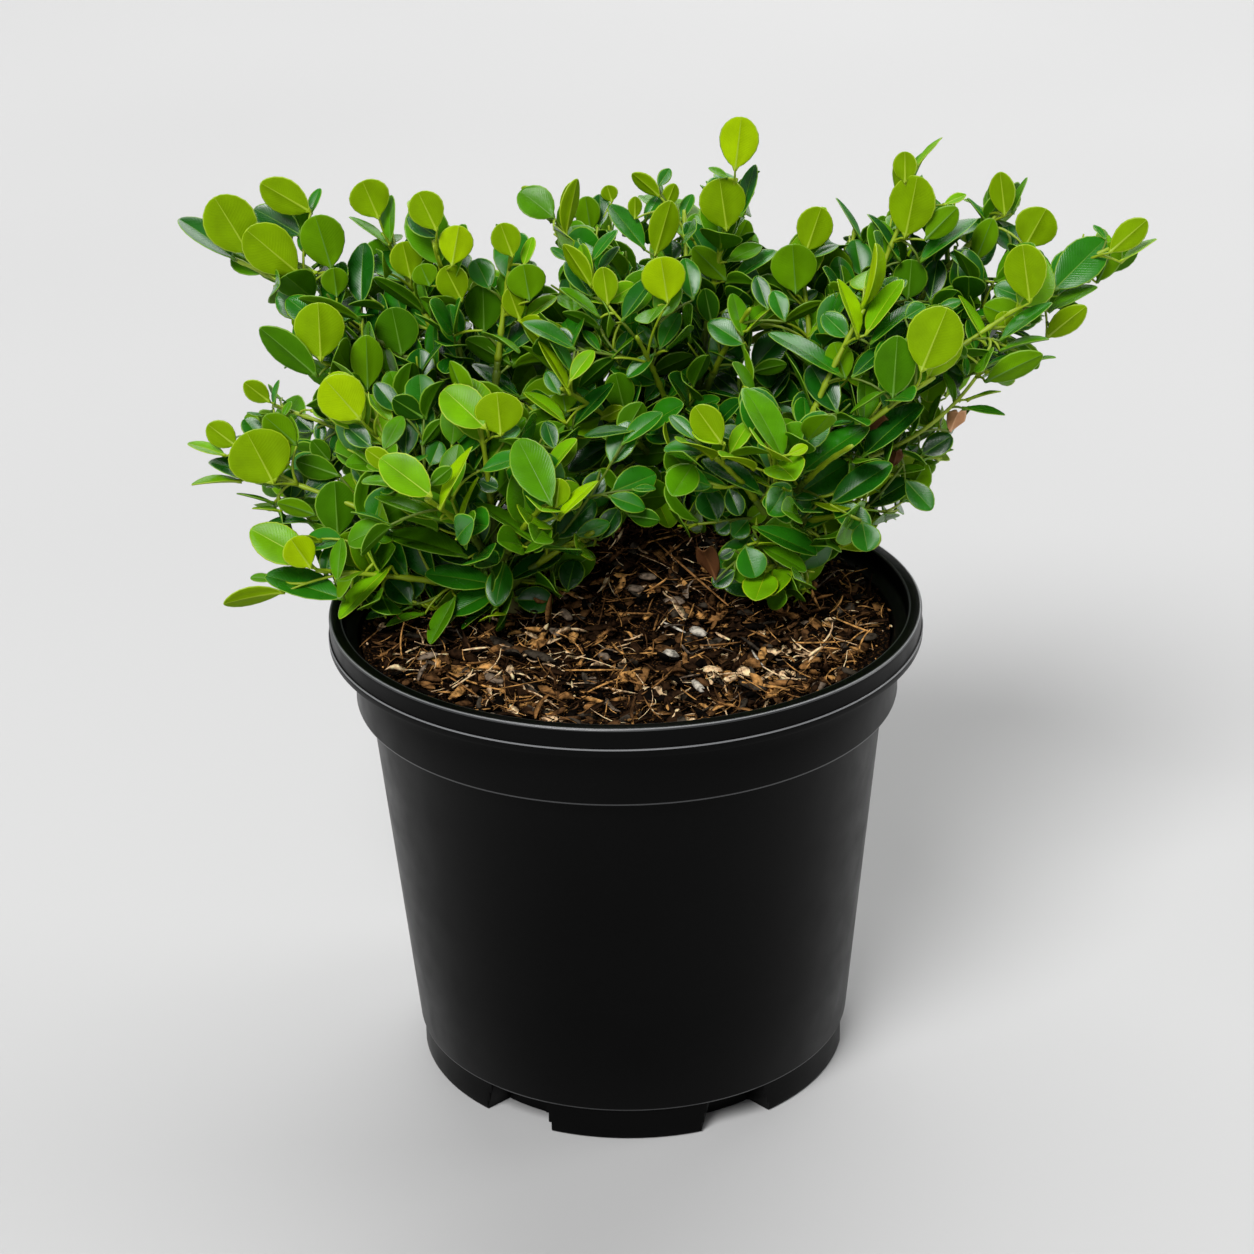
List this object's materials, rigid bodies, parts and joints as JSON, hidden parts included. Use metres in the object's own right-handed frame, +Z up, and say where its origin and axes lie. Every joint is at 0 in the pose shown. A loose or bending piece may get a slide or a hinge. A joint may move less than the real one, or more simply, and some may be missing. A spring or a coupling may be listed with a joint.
{
  "type": "potted natal plum shrub, compact spreading kind",
  "caption": "Compact broad-leaved evergreen shrub, leathery rounded leaves in pairs on arching shoots, standing in a round black nursery pot filled with bark mulch.",
  "frame": {"origin": "centre of the pot's flat underside, on the surface that the pot stands on", "axes": "+Z up along the pot's axis, -Y towards the front that the picture shows, +X to the right seen from that front"},
  "size_m": [0.4768, 0.3723, 0.4441],
  "materials": {
    "pot_plastic": "black moulded plastic, satin with a fine grain",
    "bark_mulch": "shredded bark, damp and rough, golden brown to almost black",
    "bark": "thin bark, brownish green, young shoots yellow-green",
    "foliage": "leathery leaves, glossy dark green above, matte lime green below"
  },
  "bodies": {
    "root": {"pot": "pot_plastic", "potting_mix": "bark_mulch", "stem_back_left": "bark", "stem_back_right": "bark", "stem_centre": "bark", "stem_left": "bark", "stem_right": "bark", "bough_back_left_top": "bark", "bough_back_low": "bark", "bough_back_low_left": "bark", "bough_back_low_right": "bark", "bough_back_top": "bark", "bough_far_left": "bark", "bough_far_right": "bark", "bough_left": "bark", "bough_left_shoulder": "bark", "bough_low_back_left": "bark", "bough_middle_back": "bark", "bough_middle_left": "bark", "bough_right_shoulder": "bark", "bough_tall_right": "bark", "bough_top": "bark", "bough_upper_left": "bark", "foliage_back_left_top": "foliage", "foliage_back_low": "foliage", "foliage_back_low_left": "foliage", "foliage_back_low_right": "foliage", "foliage_back_right": "foliage", "foliage_back_top": "foliage", "foliage_far_left": "foliage", "foliage_far_right": "foliage", "foliage_foot_right": "foliage", "foliage_front": "foliage", "foliage_front_left": "foliage", "foliage_front_middle": "foliage", "foliage_front_right": "foliage", "foliage_inner_left": "foliage", "foliage_inner_middle": "foliage", "foliage_left": "foliage", "foliage_left_inner": "foliage", "foliage_left_middle": "foliage", "foliage_left_shoulder": "foliage", "foliage_low_back_left": "foliage", "foliage_low_front": "foliage", "foliage_low_left": "foliage", "foliage_low_right": "foliage", "foliage_middle_back": "foliage", "foliage_middle_left": "foliage", "foliage_right_front": "foliage", "foliage_right_inner": "foliage", "foliage_right_middle": "foliage", "foliage_right_shoulder": "foliage", "foliage_tall_right": "foliage", "foliage_top": "foliage", "foliage_top_low": "foliage", "foliage_upper_left": "foliage", "foliage_upper_left_front": "foliage", "foliage_upper_right": "foliage", "foliage_upper_right_middle": "foliage"}
  },
  "joints": []
}
